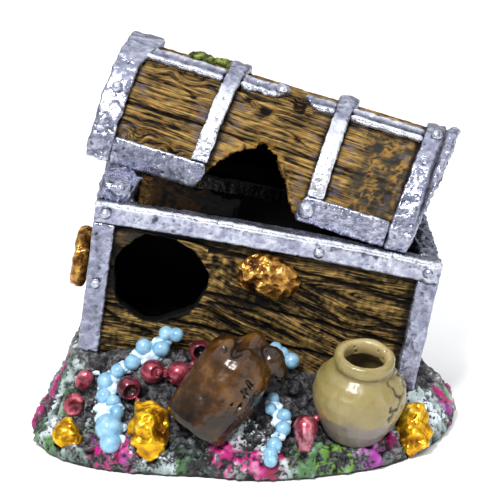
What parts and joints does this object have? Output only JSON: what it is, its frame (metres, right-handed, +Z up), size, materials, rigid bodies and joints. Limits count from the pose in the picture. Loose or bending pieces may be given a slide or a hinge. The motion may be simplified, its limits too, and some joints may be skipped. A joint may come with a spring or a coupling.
{
  "type": "aquarium bubbling ornament",
  "caption": "Sunken treasure chest ornament with a propped, torn lid, jars, beads and gold on a rock base, and an air stone fed from behind.",
  "frame": {"origin": "middle of the flat underside of the rock base, on the floor it stands on", "axes": "+Z up, +X along the chest to the viewer's right, -Y the front with the jars, +Y the back with the air inlet"},
  "size_m": [0.1336, 0.1084, 0.1174],
  "materials": {
    "rock": "painted polyresin rock, charcoal with magenta, green and white touches",
    "weathered_wood": "painted polyresin with wood grain, ochre dry-brushed over dark brown",
    "dark_wood": "unlit dark brown polyresin of the inner walls",
    "silver_paint": "cool silver paint on hammered polyresin straps",
    "old_gold": "antique gold paint",
    "bright_gold": "bright gold paint on crumpled lumps",
    "brown_glaze": "glossy brown varnish",
    "clay_glaze": "glossy tan varnish",
    "blue_pearl": "pale blue pearly paint",
    "red_pearl": "dark red pearly paint",
    "grey_pearl": "grey varnish",
    "clear_plastic": "clear moulded plastic",
    "black_rubber": "black rubber",
    "air_stone": "bonded blue-grey grit"
  },
  "bodies": {
    "root": {"air_hose": "black_rubber", "blue_beads_back": "blue_pearl", "blue_beads_left": "blue_pearl", "blue_beads_right": "blue_pearl", "brown_jug": "brown_glaze", "chest_back_panel": "weathered_wood", "chest_floor": "dark_wood", "chest_front_panel": "weathered_wood", "chest_left_end": "weathered_wood", "chest_right_end": "weathered_wood", "chest_rim_back": "silver_paint", "chest_rim_front": "silver_paint", "chest_rim_left": "silver_paint", "chest_rim_right": "silver_paint", "corner_post_back_left": "silver_paint", "corner_post_back_right": "silver_paint", "corner_post_front_left": "silver_paint", "corner_post_front_right": "silver_paint", "end_handle_boss": "old_gold", "end_handle_ring": "old_gold", "gold_nugget_left": "bright_gold", "gold_nugget_middle": "bright_gold", "gold_nugget_right": "bright_gold", "grey_pearl": "grey_pearl", "inlet_grommet": "black_rubber", "lid_back_rest": "dark_wood", "lid_left_band": "silver_paint", "lid_left_cross_strap": "silver_paint", "lid_left_end": "dark_wood", "lid_low_strap_back": "silver_paint", "lid_low_strap_left": "silver_paint", "lid_low_strap_right": "silver_paint", "lid_prop_block": "silver_paint", "lid_right_band": "silver_paint", "lid_right_cross_strap": "silver_paint", "lid_right_end": "dark_wood", "lid_rivet_left": "silver_paint", "lid_rivet_low": "silver_paint", "lid_rivet_right": "silver_paint", "lid_rivet_shoulder": "silver_paint", "lid_shell": "weathered_wood", "lid_shoulder_strap_left": "silver_paint", "lid_shoulder_strap_middle": "silver_paint", "lid_shoulder_strap_right": "silver_paint", "lid_shoulder_strap_torn": "silver_paint", "lid_wedge": "dark_wood", "lock_emblem": "old_gold", "post_rivet_left": "silver_paint", "red_bead_left": "red_pearl", "red_beads": "red_pearl", "red_bell_right": "red_pearl", "red_shell_left": "red_pearl", "rim_rivet_left": "silver_paint", "rim_rivet_middle": "silver_paint", "rim_rivet_right": "silver_paint", "rock_base": "rock", "stone_stem": "clear_plastic", "tan_pot": "clay_glaze"},
    "inlet_connector": {"inlet_connector": "clear_plastic"},
    "air_stone": {"air_stone": "air_stone"}
  },
  "joints": [
    {"name": "inlet_pull", "type": "slide", "parent": "root", "child": "inlet_connector", "axis": [0, 1, 0], "range_m": [0, 0.012]},
    {"name": "stone_lift", "type": "slide", "parent": "root", "child": "air_stone", "axis": [0.1908, 0, 0.9816], "range_m": [0, 0.012]}
  ]
}
